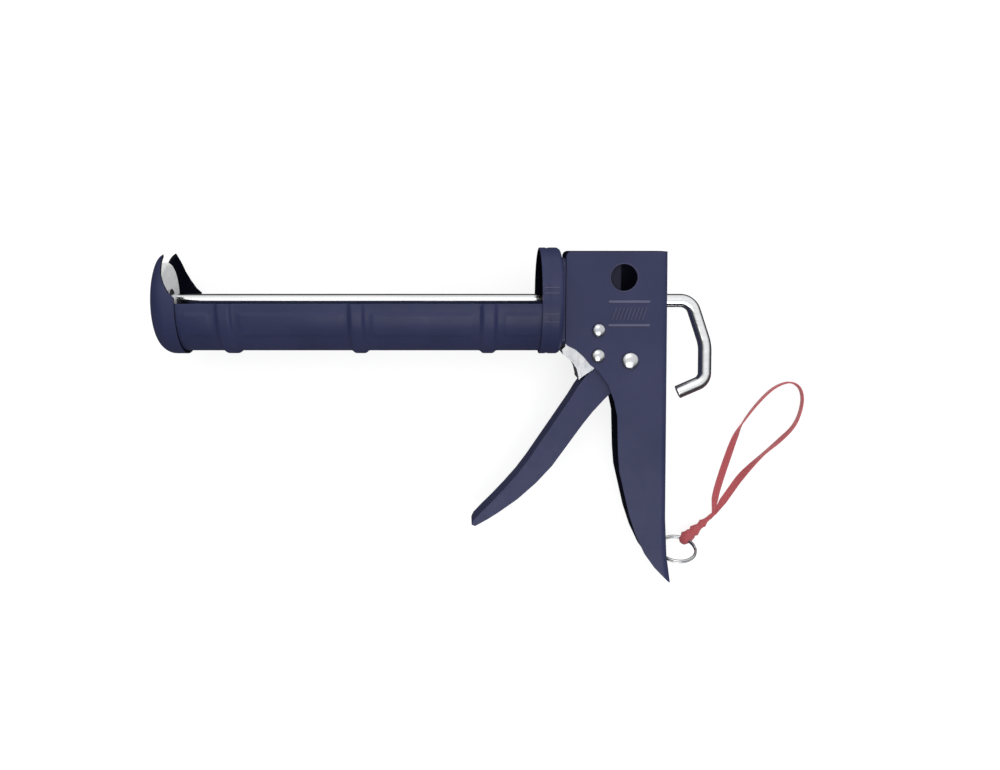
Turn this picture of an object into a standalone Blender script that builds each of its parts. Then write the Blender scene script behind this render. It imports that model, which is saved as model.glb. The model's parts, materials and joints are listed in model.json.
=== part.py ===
"""Caulking gun lying on its side, with ratchet trigger, toothed push rod, split ring and strap.

The gun is modelled in its own axes: u runs rearward along the push rod, v runs from the
handle tip up to the open side of the barrel, and w runs across the gun. The empty "gun"
carries these axes. It tilts them about the rod until the round cup, the round cap and the
lower corner of the handle tip all touch the table at z = 0.
"""

import math

import bmesh
import bpy
from mathutils import Matrix, Vector

MM = 0.001
GAP = 0.3 * MM  # clearance between pieces that touch or slide on each other
SHARP = math.radians(35)
THROUGH = 60 * MM  # half length of a cutter that passes right through

# Barrel: half-round trough, front cap and rear cup. All lie on the rod axis.
TROUGH_RADIUS = 29.9 * MM
TROUGH_SHEET = 1.0 * MM
BARREL_FRONT = -232.8 * MM  # where the cap's skirt turns into its dome
RIB_HEIGHT = 1.7 * MM
RIB_WIDTH = 6.4 * MM
RIB_FLANK = 2.0 * MM
FRONT_RIB = BARREL_FRONT + 33.8 * MM
REAR_RIB = -47.0 * MM
RIB_COUNT = 3
CUP_SHEET = 1.5 * MM
CUP_RADIUS = TROUGH_RADIUS + GAP + CUP_SHEET
CUP_FRONT = -16.5 * MM
CUP_BACK = -4.0 * MM
CUP_CORNER = 3.0 * MM
TROUGH_REAR = CUP_BACK - CUP_CORNER - GAP
CAP_SKIRT = 6.3 * MM
DOME_CORNER = 9.5 * MM
NOZZLE_SLOT = 26.0 * MM
EAR_TAPER = ((9.0, -1.0), (6.3, -1.0), (6.3, 3.2), (3.4, 5.8), (0.2, 11.0), (-2.1, 16.4), (-3.8, 25.5),
             (-4.2, 34.0), (9.0, 34.0))

# Push rod and plunger.
ROD_RADIUS = 4.0 * MM
ROD_FIT = 0.4 * MM
TOOTH_PITCH = 6.0 * MM
TOOTH_DEPTH = 1.2 * MM
TOOTH_FACE = 0.5 * MM
ROD_SHOULDER = BARREL_FRONT - 3.2 * MM
FIRST_TOOTH = ROD_SHOULDER + 14.0 * MM
LAST_TOOTH = 30.0 * MM
TEETH = round((LAST_TOOTH - FIRST_TOOTH) / TOOTH_PITCH)
SPIGOT_RADIUS = 3.0 * MM
PLUNGER_RADIUS = 22.8 * MM
PLUNGER_SHEET = 1.2 * MM
PLUNGER_RIM = 2.8 * MM
WASHER_RADIUS = 7.0 * MM
WASHER_THICK = 0.9 * MM
NUT_FLATS = 10.0 * MM
NUT_THICK = 2.4 * MM
HOOK_ROUTE = ((74.8, 0.0), (84.0, -26.5), (84.3, -48.5), (68.2, -55.6))
HOOK_BENDS = (9.0, 26.0, 7.0)

# Folded-sheet body and handle.
BODY_WIDTH = 25.6 * MM
BODY_SHEET = 1.5 * MM
BODY_TOP = 29.5 * MM
BODY_FRONT = -1.3 * MM
FOLD_RADIUS = 4.0 * MM
HANG_HOLE = (32.6, 14.3)
HANG_RADIUS = 7.9 * MM
SPINE = ((33.0, 58.4), (-60.0, 59.3), (-102.0, 59.9), (-131.0, 60.6), (-154.0, 61.9), (-182.0, 66.0))
HANDLE_FRONT = ((0.0, -26.0), (4.8, -28.4), (9.6, -32.7), (13.4, -37.4), (18.7, -41.4), (24.1, -49.1),
                (28.0, -59.0), (30.0, -68.0), (30.4, -78.0), (30.9, -91.0), (31.9, -102.0), (35.0, -115.5),
                (38.2, -128.5), (42.5, -141.2), (47.9, -152.6), (53.9, -161.0), (58.9, -166.2))

# Painted bracket behind the nose plate, and the bright guard below it that stops the trigger.
BRACKET_SHEET = 1.2 * MM
BRACKET_TOP = 24.0 * MM
BRACKET_SIDE = ((8.0, -20.4), (12.5, -10.0), (31.0, -6.0))
GUARD_TOP = -21.4 * MM
GUARD_CURVE = ((-1.3, -26.6), (-3.2, -28.4), (-2.5, -31.4), (1.1, -34.2), (3.9, -37.0), (5.7, -40.1),
               (6.8, -44.7), (6.9, -46.4))

# Rivets, as (u, v) in the side plates, with the diameters of their heads and shanks.
FRAME_RIVETS = ((18.1, -16.8), (18.0, -31.9))
FRAME_HEAD = 8.0 * MM
FRAME_SHANK = 4.0 * MM
PIVOT = (37.0, -34.9)
PIVOT_HEAD = 10.0 * MM
PIVOT_SHANK = 6.0 * MM
HEAD_HEIGHT = 2.2 * MM
BARREL_RIVET_V = 13.0 * MM
BARREL_SHANK = 4.0 * MM
LEAF_SHEET = 0.8 * MM
LEAF_WIDTH = 8.0 * MM

# Trigger, pressed from sheet as a channel with its web in front.
TRIGGER_FRONT = ((22.6, -33.6), (19.5, -36.2), (15.4, -40.3), (10.6, -45.3), (6.2, -51.6), (2.4, -58.0),
                 (-1.6, -64.0), (-5.6, -70.0), (-10.6, -77.4), (-16.6, -86.4), (-22.8, -95.7),
                 (-29.2, -104.3), (-36.4, -112.6), (-43.8, -120.6), (-50.6, -127.4),
                 (-55.4, -132.6), (-56.6, -135.4))
TRIGGER_REAR = ((-54.4, -136.2), (-46.6, -131.8), (-40.0, -127.5), (-29.0, -119.6), (-17.9, -109.6),
                (-8.2, -99.0), (1.4, -85.6), (9.4, -74.2), (15.6, -66.2), (22.4, -58.6), (33.0, -48.0),
                (40.0, -43.4))
TRIGGER_SHEET = 1.5 * MM
TRIGGER_SIDE_GAP = 0.4 * MM
PIN_ARM = 22.9 * MM  # from the pivot to the pawl's pin
TRIGGER_TRAVEL = math.radians(32)
PIN_RADIUS = 2.0 * MM
PAWL_THICK = 5.0 * MM

# Split ring, on two holes in the spine of the handle, with the strap's knot on it.
RING_RADIUS = 11.4 * MM
RING_WIRE = 0.8 * MM
RING_HOLE = 3.9 * MM
RING_CENTRE = (70.1, -152.4)
RING_HEIGHT = 14.65 * MM
RING_LEAN = math.radians(59.8)
KNOT_ANGLE = math.radians(54)
STRAP_RADIUS = 1.25 * MM
STRAP_ROUTE = ((95.1, -131.9), (96.8, -123.0), (99.9, -113.0), (105.0, -97.7), (109.6, -84.8),
               (114.3, -75.5), (123.5, -63.5), (133.5, -54.0), (142.9, -50.2), (149.3, -52.8),
               (151.7, -60.0), (149.9, -70.0), (145.5, -78.5), (137.5, -86.5), (127.5, -95.0),
               (118.9, -103.2), (112.4, -110.6), (106.5, -119.0), (102.1, -126.2), (98.1, -131.6))

# Values that follow from those above.
HALF = BODY_WIDTH / 2
INSIDE = HALF - BODY_SHEET
BRACKET_HALF = INSIDE - GAP
BRACKET_INSIDE = BRACKET_HALF - BRACKET_SHEET
TRIGGER_HALF = BRACKET_INSIDE - TRIGGER_SIDE_GAP
TRIGGER_INSIDE = TRIGGER_HALF - TRIGGER_SHEET
TIP = (63.6, -171.0)
TIP_DEPTH = -TIP[1] * MM
TILT = math.asin(CUP_RADIUS / math.hypot(TIP_DEPTH, HALF)) - math.atan2(HALF, TIP_DEPTH)
CAP_FACE = BARREL_FRONT - DOME_CORNER
HOOK_REAR = HOOK_ROUTE[2][0] * MM + ROD_RADIUS
TIP_REACH = TIP_DEPTH * math.cos(TILT) + HALF * math.sin(TILT)
GUN_PLACE = Vector((-(CAP_FACE + HOOK_REAR) / 2, (TIP_REACH - CUP_RADIUS) / 2, CUP_RADIUS))
GUN_AXES = Matrix.Translation(GUN_PLACE) @ Matrix.Rotation(TILT, 4, "X")
ROD_HOLE = ROD_RADIUS + ROD_FIT
PIN_AT_REST = math.pi / 2 - TRIGGER_TRAVEL / 2
PAWL_PIN = (PIVOT[0] * MM + PIN_ARM * math.cos(PIN_AT_REST),
            PIVOT[1] * MM + PIN_ARM * math.sin(PIN_AT_REST))
SLEEVE_BORE = PIVOT_SHANK / 2 + GAP
SLEEVE_RADIUS = SLEEVE_BORE + 1.2 * MM
TRIGGER_BORE = SLEEVE_RADIUS + GAP

PAINT = (0.050, 0.052, 0.115)
ZINC = (0.70, 0.71, 0.72)


def material(name, colour, roughness, metallic):
    """A Principled material of one plain colour."""
    made = bpy.data.materials.new(name)
    made.use_nodes = True
    shader = made.node_tree.nodes["Principled BSDF"]
    shader.inputs["Base Color"].default_value = (*colour, 1.0)
    shader.inputs["Roughness"].default_value = roughness
    shader.inputs["Metallic"].default_value = metallic
    return made


def empty(name, parent=None, matrix=None):
    """A bare axis carrier."""
    made = bpy.data.objects.new(name, None)
    bpy.context.scene.collection.objects.link(made)
    made.parent = parent
    if matrix is not None:
        made.matrix_local = matrix
    return made


def add(name, shape, look, parent):
    """Turns a bmesh into an object with outward faces and smooth round sides."""
    bmesh.ops.recalc_face_normals(shape, faces=shape.faces)
    mesh = bpy.data.meshes.new(name)
    shape.to_mesh(mesh)
    shape.free()
    mesh.shade_smooth()
    mesh.set_sharp_from_angle(angle=SHARP)
    made = bpy.data.objects.new(name, mesh)
    bpy.context.scene.collection.objects.link(made)
    made.parent = parent
    if look is not None:
        mesh.materials.append(look)
    return made


def cut(target, shape, operation="DIFFERENCE"):
    """Cuts the target with a hidden solid in the same axes."""
    cutter = add(f"{target.name}_cutter_{len(target.modifiers)}", shape, None, target.parent)
    cutter.hide_render = True
    cutter.display_type = "WIRE"
    step = target.modifiers.new("cut", "BOOLEAN")
    step.operation = operation
    step.solver = "EXACT"
    step.object = cutter


def scaled(points):
    """Millimetre pairs as metre pairs."""
    return [(a * MM, b * MM) for a, b in points]


def prism(outline, low, high):
    """A closed outline in u and v, extruded along w."""
    shape = bmesh.new()
    face = shape.faces.new([shape.verts.new((u, v, low)) for u, v in outline])
    sides = bmesh.ops.extrude_face_region(shape, geom=[face])["geom"]
    moved = [item for item in sides if isinstance(item, bmesh.types.BMVert)]
    bmesh.ops.translate(shape, vec=(0, 0, high - low), verts=moved)
    return shape


def turned(profile, steps, start=0.0, sweep=2 * math.pi):
    """A closed profile of (distance along u, radius) pairs, turned about the u axis."""
    shape = bmesh.new()
    whole = sweep > 2 * math.pi - 0.001
    count = steps if whole else steps + 1
    poles = {x: shape.verts.new((x, 0, 0)) for x, r in profile if r == 0}
    rings = []
    for k in range(count):
        angle = start + sweep * k / steps
        c, s = math.cos(angle), math.sin(angle)
        rings.append([poles[x] if r == 0 else shape.verts.new((x, r * c, r * s)) for x, r in profile])
    for k in range(steps):
        near, far = rings[k], rings[(k + 1) % count]
        for i in range(len(profile)):
            j = (i + 1) % len(profile)
            corners = []
            for vert in (near[i], near[j], far[j], far[i]):
                if vert not in corners:
                    corners.append(vert)
            if len(corners) > 2:
                shape.faces.new(corners)
    if not whole:
        shape.faces.new(rings[0])
        shape.faces.new(rings[-1])
    return shape


def across(shape, u, v):
    """Moves a shape turned about u so that its axis runs along w through (u, v)."""
    bmesh.ops.transform(shape, matrix=Matrix.Translation((u, v, 0)) @ Matrix.Rotation(-math.pi / 2, 4, "Y"),
                        verts=shape.verts)
    return shape


def along(shape, v, w=0.0):
    """Moves a shape turned about u so that its axis passes through (v, w)."""
    bmesh.ops.translate(shape, vec=(0, v, w), verts=shape.verts)
    return shape


def rod_shape(low, high, radius, steps=20):
    """A plain cylinder on the u axis."""
    return turned([(low, 0), (low, radius), (high, radius), (high, 0)], steps)


def tube_shape(low, high, bore, radius, steps=24):
    """A plain bush on the u axis."""
    return turned([(low, bore), (low, radius), (high, radius), (high, bore)], steps)


def arc(centre, radius, first, last, steps):
    """Points on an arc, both ends included, angles in degrees."""
    points = []
    for k in range(steps + 1):
        angle = math.radians(first + (last - first) * k / steps)
        points.append((centre[0] + radius * math.cos(angle), centre[1] + radius * math.sin(angle)))
    return points


def offset_line(points, distance):
    """An open line of points moved sideways, to the left of its direction."""
    moved = []
    for i, here in enumerate(points):
        before = Vector(points[max(i - 1, 0)])
        after = Vector(points[min(i + 1, len(points) - 1)])
        first = (Vector(here) - before).normalized() if i else (after - Vector(here)).normalized()
        last = (after - Vector(here)).normalized() if i < len(points) - 1 else first
        bisector = (first + last).normalized()
        reach = distance / max(bisector.dot(first), 0.5)
        moved.append((here[0] - bisector.y * reach, here[1] + bisector.x * reach))
    return moved


def smooth_line(points, spans):
    """A Catmull-Rom curve through the points, with this many spans between each pair."""
    vectors = [Vector(p) for p in points]
    vectors = [2 * vectors[0] - vectors[1], *vectors, 2 * vectors[-1] - vectors[-2]]
    line = []
    for a, b, c, d in zip(vectors, vectors[1:], vectors[2:], vectors[3:]):
        for k in range(spans):
            t = k / spans
            line.append(0.5 * ((2 * b) + (c - a) * t + (2 * a - 5 * b + 4 * c - d) * t * t
                               + (3 * b - a - 3 * c + d) * t * t * t))
    line.append(vectors[-2])
    return line


def tube_curve(name, points, radius, look, parent, resolution=1):
    """A round wire or cord as a curve with filled caps."""
    curve = bpy.data.curves.new(name, "CURVE")
    curve.dimensions = "3D"
    curve.bevel_depth = radius
    curve.bevel_resolution = resolution
    curve.use_fill_caps = True
    line = curve.splines.new("POLY")
    line.points.add(len(points) - 1)
    for slot, point in zip(line.points, points):
        slot.co = (*point, 1.0)
    curve.materials.append(look)
    made = bpy.data.objects.new(name, curve)
    bpy.context.scene.collection.objects.link(made)
    made.parent = parent
    return made


def rounded_route(points, radii, steps):
    """Stations (u, v, direction) along straight runs with a round bend at each inner point."""
    stations = []
    corners = [Vector(p) for p in points]
    for i, radius in enumerate(radii, start=1):
        into = (corners[i] - corners[i - 1]).normalized()
        out = (corners[i + 1] - corners[i]).normalized()
        first = math.atan2(into.y, into.x)
        bend = math.remainder(math.atan2(out.y, out.x) - first, 2 * math.pi)
        start = corners[i] - into * radius * math.tan(abs(bend) / 2)
        side = math.copysign(1, bend)
        centre = start + Vector((-into.y, into.x)) * radius * side
        for k in range(steps + 1):
            turn = first + bend * k / steps
            place = centre - Vector((-math.sin(turn), math.cos(turn))) * radius * side
            stations.append((place.x, place.y, turn))
    end = corners[-1] - corners[-2]
    stations.append((corners[-1].x, corners[-1].y, math.atan2(end.y, end.x)))
    return stations


def build_barrel(gun, paint):
    """Trough with pressed cross ribs, domed front cap with its nozzle slot, and rear cup."""
    rib_pitch = (REAR_RIB - FRONT_RIB) / (RIB_COUNT - 1)
    ribs = [FRONT_RIB + rib_pitch * k for k in range(RIB_COUNT)]
    outer = [(BARREL_FRONT + GAP, TROUGH_RADIUS)]
    for centre in ribs:
        foot = RIB_WIDTH / 2 + RIB_FLANK
        outer += [(centre - foot, TROUGH_RADIUS), (centre - RIB_WIDTH / 2, TROUGH_RADIUS + RIB_HEIGHT),
                  (centre + RIB_WIDTH / 2, TROUGH_RADIUS + RIB_HEIGHT), (centre + foot, TROUGH_RADIUS)]
    outer.append((TROUGH_REAR, TROUGH_RADIUS))
    inner = [(x, r - TROUGH_SHEET) for x, r in reversed(outer)]
    add("barrel_trough", turned(outer + inner, 26, math.pi / 2, math.pi), paint, gun)

    corner = (BARREL_FRONT, CUP_RADIUS - DOME_CORNER)
    skirt = BARREL_FRONT + CAP_SKIRT
    outer = [(skirt, CUP_RADIUS), *arc(corner, DOME_CORNER, 90, 180, 5), (CAP_FACE, 0)]
    inner = [(CAP_FACE + CUP_SHEET, 0), *arc(corner, DOME_CORNER - CUP_SHEET, 180, 90, 5),
             (skirt, CUP_RADIUS - CUP_SHEET)]
    cap = add("front_cap", turned(outer + inner, 44), paint, gun)
    half = NOZZLE_SLOT / 2
    slot = [(-half, 2 * CUP_RADIUS), *arc((0, 0), half, 180, 360, 14), (half, 2 * CUP_RADIUS)]
    shape = prism(slot, 0, THROUGH)
    turn = Matrix(((0, 0, 1, 0), (0, 1, 0, 0), (1, 0, 0, 0), (0, 0, 0, 1)))
    place = Matrix.Translation((CAP_FACE - CUP_SHEET, 0, 0)) @ turn
    bmesh.ops.transform(shape, matrix=place, verts=shape.verts)
    cut(cap, shape)
    taper = [(BARREL_FRONT + a, b) for a, b in scaled(EAR_TAPER)]
    cut(cap, prism(taper, -THROUGH, THROUGH))

    corner = (CUP_BACK - CUP_CORNER, CUP_RADIUS - CUP_CORNER)
    outer = [(CUP_FRONT, CUP_RADIUS), *arc(corner, CUP_CORNER, 90, 0, 3), (CUP_BACK, ROD_HOLE)]
    inner = [(CUP_BACK - CUP_SHEET, ROD_HOLE), *arc(corner, CUP_CORNER - CUP_SHEET, 0, 90, 3),
             (CUP_FRONT, CUP_RADIUS - CUP_SHEET)]
    cup = add("rear_cup", turned(outer + inner, 44), paint, gun)
    cut_barrel_rivet_holes(cup)

    low = CUP_BACK + GAP
    high = BODY_FRONT - GAP
    tall = BODY_TOP - 4.0 * MM
    wide = HALF
    round_off = 4.0 * MM
    outline = []
    for a, b, first in ((tall, wide, 0), (-tall, wide, 90), (-tall, -wide, 180), (tall, -wide, 270)):
        centre = (a - math.copysign(round_off, a), b - math.copysign(round_off, b))
        outline += arc(centre, round_off, first, first + 90, 4)
    plate = prism(outline, low, high)
    bmesh.ops.transform(plate, matrix=Matrix(((0, 0, 1, 0), (1, 0, 0, 0), (0, 1, 0, 0), (0, 0, 0, 1))),
                        verts=plate.verts)
    nose = add("nose_plate", plate, paint, gun)
    cut(nose, rod_shape(low - MM, high + MM, ROD_HOLE))
    cut_barrel_rivet_holes(nose)


def cut_barrel_rivet_holes(target):
    """Two holes beside the rod, for the rivets that tie cup, nose plate and bracket."""
    for side in (1, -1):
        hole = rod_shape(CUP_BACK - 5 * MM, 5 * MM, BARREL_SHANK / 2 + GAP, 16)
        cut(target, along(hole, side * BARREL_RIVET_V))


def body_section(rear):
    """One cross section of the folded sheet, as (u, w), open at its front."""
    inner_radius = FOLD_RADIUS - BODY_SHEET
    front = -12 * MM
    corner = rear - FOLD_RADIUS
    flat = HALF - FOLD_RADIUS
    return [(front, HALF), *arc((corner, flat), FOLD_RADIUS, 90, 0, 5),
            *arc((corner, -flat), FOLD_RADIUS, 0, -90, 5), (front, -HALF),
            (front, -INSIDE), *arc((corner, -flat), inner_radius, -90, 0, 5),
            *arc((corner, flat), inner_radius, 0, 90, 5), (front, INSIDE)]


def build_body(gun, paint):
    """Body and handle, folded from one sheet round the spine and open in front."""
    shape = bmesh.new()
    rings = []
    for v, rear in SPINE:
        rings.append([shape.verts.new((u, v * MM, w)) for u, w in body_section(rear * MM)])
    for upper, lower in zip(rings, rings[1:]):
        for i in range(len(upper)):
            j = (i + 1) % len(upper)
            shape.faces.new((upper[i], upper[j], lower[j], lower[i]))
    shape.faces.new(rings[0])
    shape.faces.new(rings[-1])
    body = add("body_shell", shape, paint, gun)

    top = arc((BODY_FRONT + 3 * MM, BODY_TOP - 3 * MM), 3 * MM, 90, 180, 4)
    behind = SPINE[-1][1] * MM + 9 * MM
    below = (behind, TIP[1] * MM)
    side = [*top, (BODY_FRONT, -25.0 * MM), *scaled(HANDLE_FRONT), tuple(c * MM for c in TIP), below,
            (behind, BODY_TOP)]
    cut(body, prism(side, -2 * HALF, 2 * HALF), "INTERSECT")
    for u, v in FRAME_RIVETS:
        cut(body, across(rod_shape(-THROUGH, THROUGH, FRAME_SHANK / 2 + GAP, 16), u * MM, v * MM))
    cut(body, across(rod_shape(-THROUGH, THROUGH, SLEEVE_BORE, 20), PIVOT[0] * MM, PIVOT[1] * MM))
    near_plate_only = rod_shape(HALF / 2, THROUGH, HANG_RADIUS, 32)
    cut(body, across(near_plate_only, HANG_HOLE[0] * MM, HANG_HOLE[1] * MM))
    spine = SPINE[0][1] * MM
    cut(body, rod_shape(spine - THROUGH / 6, spine + THROUGH / 6, ROD_HOLE, 24))
    return body


def build_bracket(gun, paint, zinc):
    """Painted channel that ties the barrel to the body, and the plated guard below it."""
    side = scaled(BRACKET_SIDE)
    low = side[0][1]
    reach = side[-1][0]
    outline = [(BODY_FRONT, BRACKET_TOP), (BODY_FRONT, low), *side, (reach, BRACKET_TOP)]
    bracket = add("inner_bracket", prism(outline, -BRACKET_HALF, BRACKET_HALF), paint, gun)
    web = BODY_FRONT + BRACKET_SHEET
    hollow = [(web, 2 * BRACKET_TOP), (web, 2 * low), (2 * reach, 2 * low), (2 * reach, 2 * BRACKET_TOP)]
    cut(bracket, prism(hollow, -BRACKET_INSIDE, BRACKET_INSIDE))
    cut(bracket, rod_shape(-5 * MM, 5 * MM, ROD_HOLE))
    cut_barrel_rivet_holes(bracket)

    front = [(BODY_FRONT, GUARD_TOP), *scaled(GUARD_CURVE)]
    rear = scaled([(9.3, -44.4), (15.0, -40.7), (18.9, -36.2), (24.0, -34.0), (24.5, -11.6), (13.2, -11.6)])
    rear.append((8.8 * MM, GUARD_TOP))
    guard = add("trigger_guard", prism(front + rear, -BRACKET_HALF, BRACKET_HALF), zinc, gun)
    web = offset_line(front, BRACKET_SHEET)
    web[0] = (web[0][0], 0)
    hollow = [*web[:-1], (web[-1][0], -THROUGH), (THROUGH, -THROUGH), (THROUGH, 0)]
    cut(guard, prism(hollow, -BRACKET_INSIDE, BRACKET_INSIDE))
    for u, v in FRAME_RIVETS:
        cut(guard, across(rod_shape(-THROUGH, THROUGH, FRAME_SHANK / 2 + GAP, 16), u * MM, v * MM))


def domed(base, height, radius, steps=4):
    """Profile points of a domed rivet head that starts at base and ends on the axis."""
    points = []
    for k in range(steps):
        angle = math.radians(12 + 78 * k / steps)
        across = radius * math.cos(angle) / math.cos(math.radians(12))
        points.append((base + height * math.sin(angle), across))
    return [(base, radius), *points[1:], (base + height, 0)]


def rivet(u, v, head, shank, shoulder):
    """A rivet right across the body, domed on both sides and thicker between the side plates."""
    seat = HALF + GAP
    right = [(seat, shank / 2), *domed(seat, HEAD_HEIGHT, head / 2)]
    left = [(-x, r) for x, r in reversed(right)]
    middle = [(-shoulder[0], shank / 2), (-shoulder[0], shoulder[1]), (shoulder[0], shoulder[1]),
              (shoulder[0], shank / 2)] if shoulder else []
    return across(turned([*left, *middle, *right], 20), u * MM, v * MM)


def build_rivets(gun, zinc, steel):
    """Frame rivets, the trigger's pivot rivet with its sleeve and washers, and the barrel rivets."""
    shoulder = (BRACKET_INSIDE - GAP, FRAME_SHANK / 2 + 1.2 * MM)
    for name, (u, v) in zip(("frame_rivet_upper", "frame_rivet_lower"), FRAME_RIVETS):
        add(name, rivet(u, v, FRAME_HEAD, FRAME_SHANK, shoulder), zinc, gun)
    u, v = PIVOT
    add("trigger_pivot_rivet", rivet(u, v, PIVOT_HEAD, PIVOT_SHANK, None), zinc, gun)
    sleeve = tube_shape(-INSIDE + GAP, INSIDE - GAP, SLEEVE_BORE, SLEEVE_RADIUS)
    add("pivot_sleeve", across(sleeve, u * MM, v * MM), steel, gun)
    for name, side in (("trigger_washer_left", 1), ("trigger_washer_right", -1)):
        ends = sorted((side * (TRIGGER_HALF + GAP), side * (TRIGGER_HALF + GAP + MM)))
        washer = tube_shape(ends[0], ends[1], TRIGGER_BORE, WASHER_RADIUS)
        add(name, across(washer, u * MM, v * MM), zinc, gun)
    radius = BARREL_SHANK / 2
    front = CUP_BACK - CUP_SHEET - GAP
    rear = BODY_FRONT + BRACKET_SHEET + GAP
    for name, v, tail in (("barrel_rivet_upper", BARREL_RIVET_V, rear + LEAF_SHEET + GAP),
                          ("barrel_rivet_lower", -BARREL_RIVET_V, rear)):
        head = [(x, r) for x, r in domed(-front, 1.5 * MM, 3.4 * MM)]
        profile = [(-x, r) for x, r in reversed(head)]
        profile += [(front, radius), (tail, radius), *domed(tail, 1.5 * MM, 3.2 * MM)]
        add(name, along(turned(profile, 16), v), steel, gun)


def build_brake(gun, steel):
    """A leaf spring that bears on the top of the rod, held by the upper barrel rivet."""
    rear = BODY_FRONT + BRACKET_SHEET + GAP
    low = ROD_RADIUS + GAP + LEAF_SHEET
    line = [(rear, 18 * MM), (rear, low + 3.6 * MM), (rear + 1.0 * MM, low + 1.4 * MM),
            (rear + 3.4 * MM, low), (18 * MM, low), (22 * MM, low + 1.6 * MM)]
    leaf = add("rod_brake_leaf", prism([*line, *reversed(offset_line(line, LEAF_SHEET))], -LEAF_WIDTH / 2,
                                       LEAF_WIDTH / 2), steel, gun)
    cut(leaf, along(rod_shape(-2 * MM, 4 * MM, BARREL_SHANK / 2 + GAP, 16), BARREL_RIVET_V))


def build_trigger(gun, paint, steel):
    """Trigger channel on the pivot sleeve, with two ears that carry the pin of the drive pawl."""
    u, v = PIVOT
    place = Vector((u * MM, v * MM, 0))
    axle = empty("trigger_axle", gun, Matrix.Translation(place))
    front = [(a - place.x, b - place.y) for a, b in scaled(TRIGGER_FRONT)]
    rear = [(a - place.x, b - place.y) for a, b in scaled(TRIGGER_REAR)]
    pin = (PAWL_PIN[0] - place.x, PAWL_PIN[1] - place.y)
    heel = [*arc((0, 0), 9 * MM, -70, 10, 4), *arc(pin, 5.5 * MM, 0, 165, 8), (-6.0 * MM, 8.0 * MM)]
    side = [*front, *rear, *heel]
    trigger = add("trigger", prism(side, -TRIGGER_HALF, TRIGGER_HALF), paint, axle)
    web = offset_line(front, TRIGGER_SHEET)
    ahead = Vector(web[0]) - Vector(web[1])
    web[0] = tuple(Vector(web[0]) + ahead.normalized() * 1.2 * MM)
    web[-1] = (web[-1][0] - 0.6 * MM, web[-1][1] - 6 * MM)
    hollow = [(-9 * MM, 45 * MM), *web, (40 * MM, -110 * MM), (60 * MM, 45 * MM)]
    cut(trigger, prism(hollow, -TRIGGER_INSIDE, TRIGGER_INSIDE))
    cut(trigger, across(rod_shape(-THROUGH, THROUGH, TRIGGER_BORE), 0, 0))
    cut(trigger, across(rod_shape(-THROUGH, THROUGH, PIN_RADIUS + GAP, 16), *pin))

    end = TRIGGER_HALF + GAP
    head = [(end, PIN_RADIUS), (end, PIN_RADIUS + 1.3 * MM), (end + MM, PIN_RADIUS + 1.0 * MM), (end + MM, 0)]
    profile = [*[(-x, r) for x, r in reversed(head)], *head]
    add("pawl_pin", across(turned(profile, 16), *pin), steel, axle)
    return axle, pin


def build_pawl(axle, pin, steel):
    """Drive pawl. Its tip runs just clear of the rod's teeth at the middle of the stroke."""
    carrier = empty("pawl_axle", axle, Matrix.Translation((*pin, 0)))
    top_of_stroke = PIVOT[1] * MM + PIN_ARM
    tip = -ROD_RADIUS - GAP - 0.1 * MM - top_of_stroke
    outline = [(-2.0 * MM, 4.2 * MM), (-8.0 * MM, tip - 2.0 * MM), (-13.2 * MM, tip), (-14.6 * MM, tip),
               (-15.4 * MM, tip - 2.2 * MM), (-13.0 * MM, 1.8 * MM), *arc((0, 0), 4.6 * MM, 215, 445, 12)]
    pawl = add("drive_pawl", prism(outline, -PAWL_THICK / 2, PAWL_THICK / 2), steel, carrier)
    cut(pawl, across(rod_shape(-THROUGH, THROUGH, PIN_RADIUS + GAP, 16), 0, 0))


def coil(radius, turns, width, first, leg_first, leg_last, per_turn):
    """Points of a torsion spring wound about the w axis, with a tangent leg at each end."""
    count = round(turns * per_turn)
    line = []
    for k in range(count + 1):
        angle = math.radians(first) - 2 * math.pi * turns * k / count
        across = -width / 2 + width * k / count
        line.append(Vector((radius * math.cos(angle), radius * math.sin(angle), across)))
    start, last = math.radians(first), math.radians(first) - 2 * math.pi * turns
    lead = line[0] + Vector((-math.sin(start), math.cos(start), 0)) * leg_first
    tail = line[-1] + Vector((math.sin(last), -math.cos(last), 0)) * leg_last
    return [lead, *line, tail]


def build_springs(gun, axle, pin, steel):
    """Return spring round the pivot sleeve, and the small spring that lifts the pawl."""
    wire = 0.7 * MM
    place = Matrix.Translation((PIVOT[0] * MM, PIVOT[1] * MM, 0))
    holder = empty("return_spring_seat", gun, place)
    radius = SLEEVE_RADIUS + GAP + wire + 0.7 * MM
    points = coil(radius, 3.14, 9.0 * MM, 130, 27.0 * MM, 18.5 * MM, 12)
    tube_curve("trigger_return_spring", points, wire, steel, holder)
    wire = 0.4 * MM
    radius = PIN_RADIUS + GAP + wire + 0.5 * MM
    points = coil(radius, 3.3, 3.0 * MM, 20, 3.0 * MM, 6.0 * MM, 10)
    middle = (PAWL_THICK / 2 + TRIGGER_INSIDE) / 2
    holder = empty("pawl_spring_seat", axle, Matrix.Translation((*pin, middle)))
    tube_curve("pawl_spring", points, wire, steel, holder)


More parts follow.
